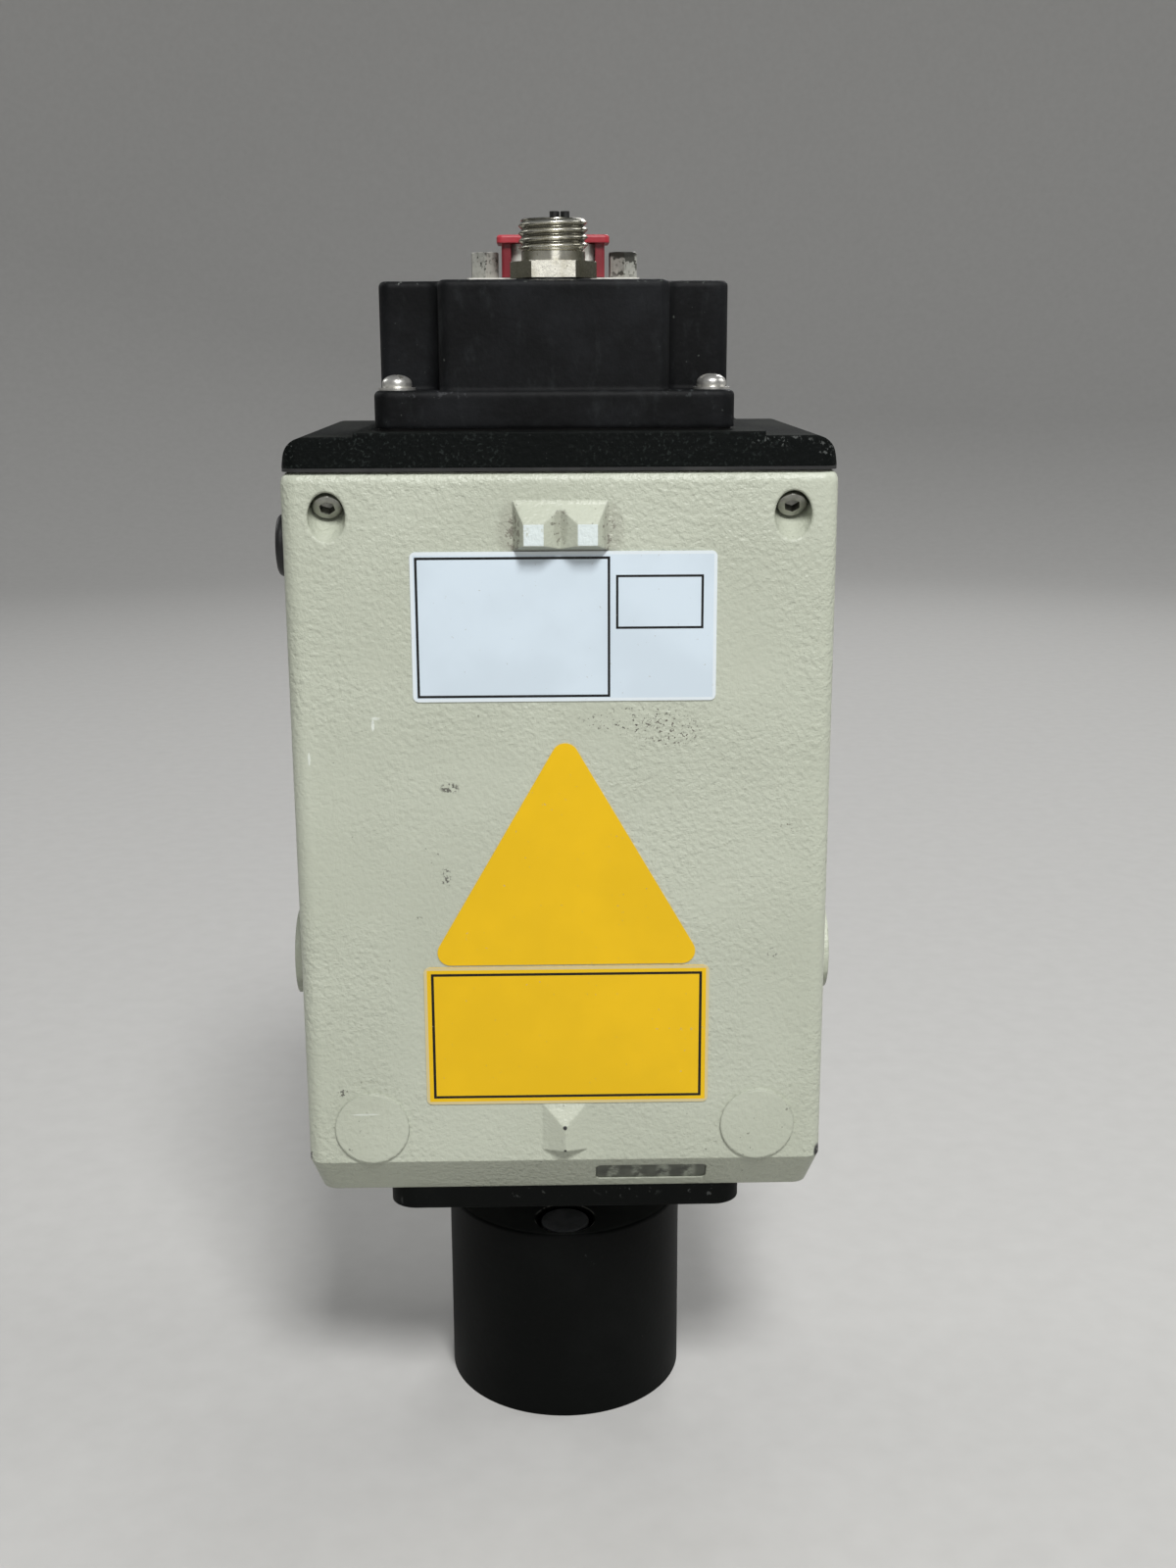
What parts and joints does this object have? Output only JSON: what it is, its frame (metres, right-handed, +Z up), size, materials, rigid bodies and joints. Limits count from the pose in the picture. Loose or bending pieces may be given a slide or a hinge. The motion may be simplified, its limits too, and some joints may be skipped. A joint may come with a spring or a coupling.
{
  "type": "laser distance meter",
  "caption": "Laser distance meter with a cast box housing on a round lens barrel, sights and labels on its face, and a connector box with a red dust cap on its rear end.",
  "frame": {"origin": "centre of the lens barrel's rim, where the part stands", "axes": "+Z up along the barrel's axis towards the connectors, -Y out of the labelled face, +X to the viewer's right"},
  "size_m": [0.1064, 0.0795, 0.234],
  "materials": {
    "housing_paint": "hammered paint, semi-gloss",
    "black_rubber": "matte",
    "black_casting": "fine-textured satin paint",
    "dark_steel": "blackened, satin",
    "black_box": "fine-textured matte paint",
    "bright_steel": "satin",
    "nickel": "nickel plate, glossy",
    "black_plastic": "matte",
    "gold_contact": "gold flashed",
    "tinned_shell": "tin plate",
    "zinc_steel": "zinc plate, dull",
    "red_plastic": "soft plastic, satin",
    "board_laminate": "solder resist",
    "cable_grey": "matte",
    "barrel_paint": "matte black paint, dusty",
    "plug_metal": "satin",
    "lens_glass": "coated, polished",
    "black_anodised": "black anodised, matte",
    "mirror_coat": "first-surface mirror",
    "module_brass": "turned",
    "detector_can": "satin",
    "chip_black": "matte",
    "window_plastic": "translucent, smooth",
    "light_plastic": "clear",
    "plug_black": "matte",
    "label_white": "printed film, satin",
    "label_yellow": "printed film, satin"
  },
  "bodies": {
    "meter": {"housing": "housing_paint", "cap_gasket": "black_rubber", "rear_cap": "black_casting", "cap_screws": "dark_steel", "connector_box": "black_box", "box_gasket": "black_rubber", "box_screws": "bright_steel", "box_washers": "bright_steel", "round_connector": "nickel", "round_nut": "nickel", "round_seal": "black_rubber", "round_insert": "black_plastic", "round_contacts": "gold_contact", "dsub_shell": "tinned_shell", "dsub_body": "black_plastic", "dsub_contacts": "gold_contact", "jack_screws": "zinc_steel", "jack_nuts": "zinc_steel", "interface_board": "board_laminate", "flat_cable": "cable_grey", "cable_header": "black_plastic", "lens_barrel": "barrel_paint", "barrel_flange": "barrel_paint", "barrel_seal": "black_rubber", "flange_screws": "dark_steel", "adjuster_plug": "plug_metal", "objective_lens": "lens_glass", "lens_seal": "black_rubber", "lens_retainer": "black_anodised", "optics_block": "black_anodised", "block_screws": "dark_steel", "split_mirror": "mirror_coat", "laser_module": "module_brass", "collimator_lens": "lens_glass", "receiver_tube": "black_anodised", "receiver_board": "board_laminate", "detector": "detector_can", "main_board": "board_laminate", "board_screws": "zinc_steel", "board_chips": "chip_black", "status_window": "window_plastic", "status_lights": "light_plastic", "light_board": "board_laminate", "side_plug": "plug_black", "type_label": "label_white", "triangle_label": "label_yellow", "rectangle_label": "label_yellow"},
    "cap": {"dust_cap": "red_plastic"}
  },
  "joints": [
    {"name": "dust_cap_slide", "type": "slide", "parent": "meter", "child": "cap", "axis": [0, 0, 1], "range_m": [0, 0.008]}
  ]
}
